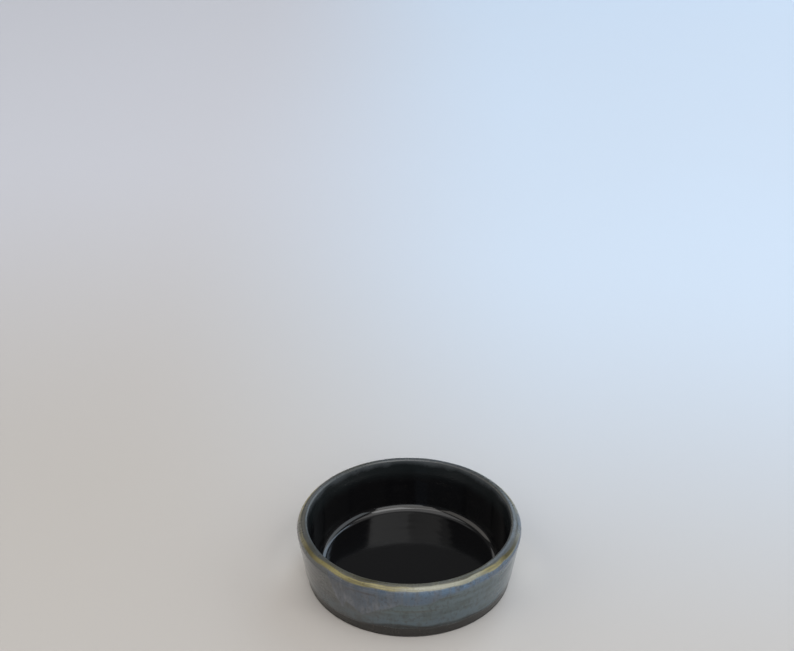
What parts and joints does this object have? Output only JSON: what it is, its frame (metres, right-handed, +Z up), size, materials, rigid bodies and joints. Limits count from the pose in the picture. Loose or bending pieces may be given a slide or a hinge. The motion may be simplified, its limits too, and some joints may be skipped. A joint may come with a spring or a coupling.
{
  "type": "wine bottle coaster",
  "caption": "Round glazed stoneware dish with a flat floor, a low leaning wall and a rounded lip, to stand a wine bottle in and catch drips",
  "frame": {"origin": "Centre of the foot ring, on the surface that the coaster stands on", "axes": "+Z is up along the dish's axis of symmetry, and X and Y are level, with -Y towards the camera"},
  "size_m": [0.118, 0.118, 0.0346],
  "materials": {
    "stoneware": "bare dark stoneware, trimmed, matte with fine grog",
    "black_glaze": "glossy black glaze",
    "amber_grey_glaze": "satin glaze, grey on the crown of the lip and amber where it breaks over the outer edge",
    "blue_grey_glaze": "satin mottled blue-grey glaze with soft streaks"
  },
  "bodies": {
    "root": {"stoneware_body": "stoneware", "liner_glaze": "black_glaze", "rim_glaze": "amber_grey_glaze", "outer_glaze": "blue_grey_glaze"}
  },
  "joints": []
}
